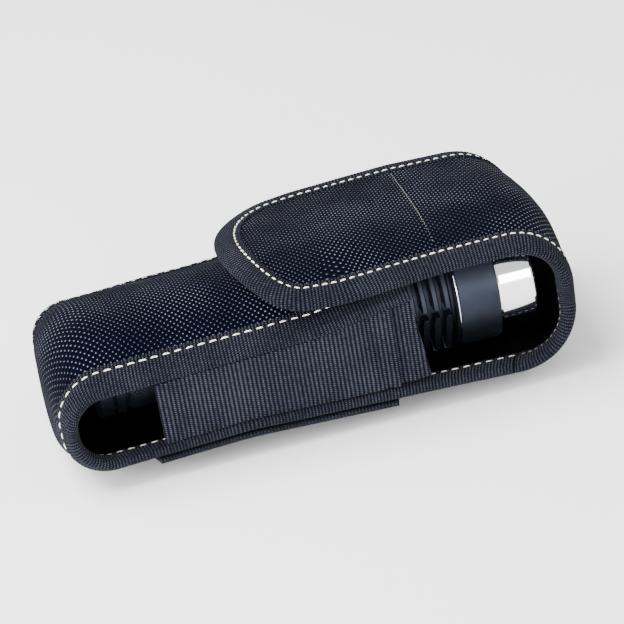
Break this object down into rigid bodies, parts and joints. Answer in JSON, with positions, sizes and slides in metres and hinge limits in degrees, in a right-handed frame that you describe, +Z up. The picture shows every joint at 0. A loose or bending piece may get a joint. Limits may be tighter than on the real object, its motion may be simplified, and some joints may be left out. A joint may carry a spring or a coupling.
{
  "type": "tactical flashlight",
  "caption": "Pocket flashlight with finned head, bright bezel and knurled body, carried in a padded nylon belt holster with a flap and elastic sides.",
  "frame": {"origin": "centre of the holster's footprint, on the underside of the belt loop", "axes": "+X along the flashlight towards its lens, +Z up out of the holster's front"},
  "size_m": [0.131, 0.0592, 0.0429],
  "materials": {
    "ballistic_nylon": "coarse basket weave",
    "binding_tape": "ribbed grosgrain",
    "elastic": "ribbed elastic",
    "webbing": "woven webbing",
    "hook_and_loop": "matt pile",
    "black_anodised": "satin anodised",
    "bare_aluminium": "machined",
    "board": "solder mask",
    "emitter": "silicone dome",
    "contact_metal": "gold plated",
    "cell_wrap": "shrink wrap",
    "rubber": "matt",
    "bezel_chrome": "polished",
    "lens_glass": "clear",
    "switch_plastic": "moulded"
  },
  "bodies": {
    "holster": {"back_strip": "ballistic_nylon", "binding_near": "binding_tape", "binding_far": "binding_tape", "elastic_near": "elastic", "elastic_far": "elastic", "elastic_tuck_near": "elastic", "elastic_tuck_far": "elastic", "elastic_hem_near": "elastic", "elastic_hem_far": "elastic", "belt_loop": "webbing", "hook_patch": "hook_and_loop"},
    "flap": {"flap_strip": "ballistic_nylon", "flap_binding": "binding_tape", "loop_patch": "hook_and_loop"},
    "light": {"head_body": "black_anodised", "battery_tube": "black_anodised", "heat_shelf": "bare_aluminium", "led_board": "board", "led_emitter": "emitter", "driver_board": "board", "driver_contact": "contact_metal", "battery_cell": "cell_wrap", "cell_cap": "contact_metal", "tube_o_ring": "rubber", "tail_o_ring": "rubber"},
    "focus_head": {"focus_sleeve": "black_anodised", "bezel_ring": "bezel_chrome", "lens": "lens_glass", "lens_gasket": "rubber", "reflector": "bezel_chrome"},
    "tail": {"tail_cap": "black_anodised", "switch_module": "switch_plastic", "retaining_ring": "contact_metal", "tail_spring": "contact_metal"},
    "button": {"switch_boot": "rubber", "switch_plunger": "switch_plastic"}
  },
  "joints": [
    {"name": "flap_open", "type": "hinge", "parent": "holster", "child": "flap", "pos_m": [0.057, 0, 0.002], "axis": [0, 1, 0], "range_deg": [0, 60]},
    {"name": "light_draw", "type": "slide", "parent": "holster", "child": "light", "axis": [1, 0, 0], "range_m": [0, 0.01466]},
    {"name": "bezel_twist", "type": "hinge", "parent": "light", "child": "focus_head", "pos_m": [0.04, -0.006, 0.0218], "axis": [1, 0, 0], "range_deg": [0, 90]},
    {"name": "tail_twist", "type": "hinge", "parent": "light", "child": "tail", "pos_m": [-0.035, -0.006, 0.0218], "axis": [1, 0, 0], "range_deg": [0, 90]},
    {"name": "button_press", "type": "slide", "parent": "tail", "child": "button", "axis": [1, 0, 0], "range_m": [0, 0.0015], "stiffness_N_per_m": 1500}
  ],
  "couplings": [
    {"joint": "flap_open", "follows": "light_draw", "rad_per_m": 71.4}
  ]
}
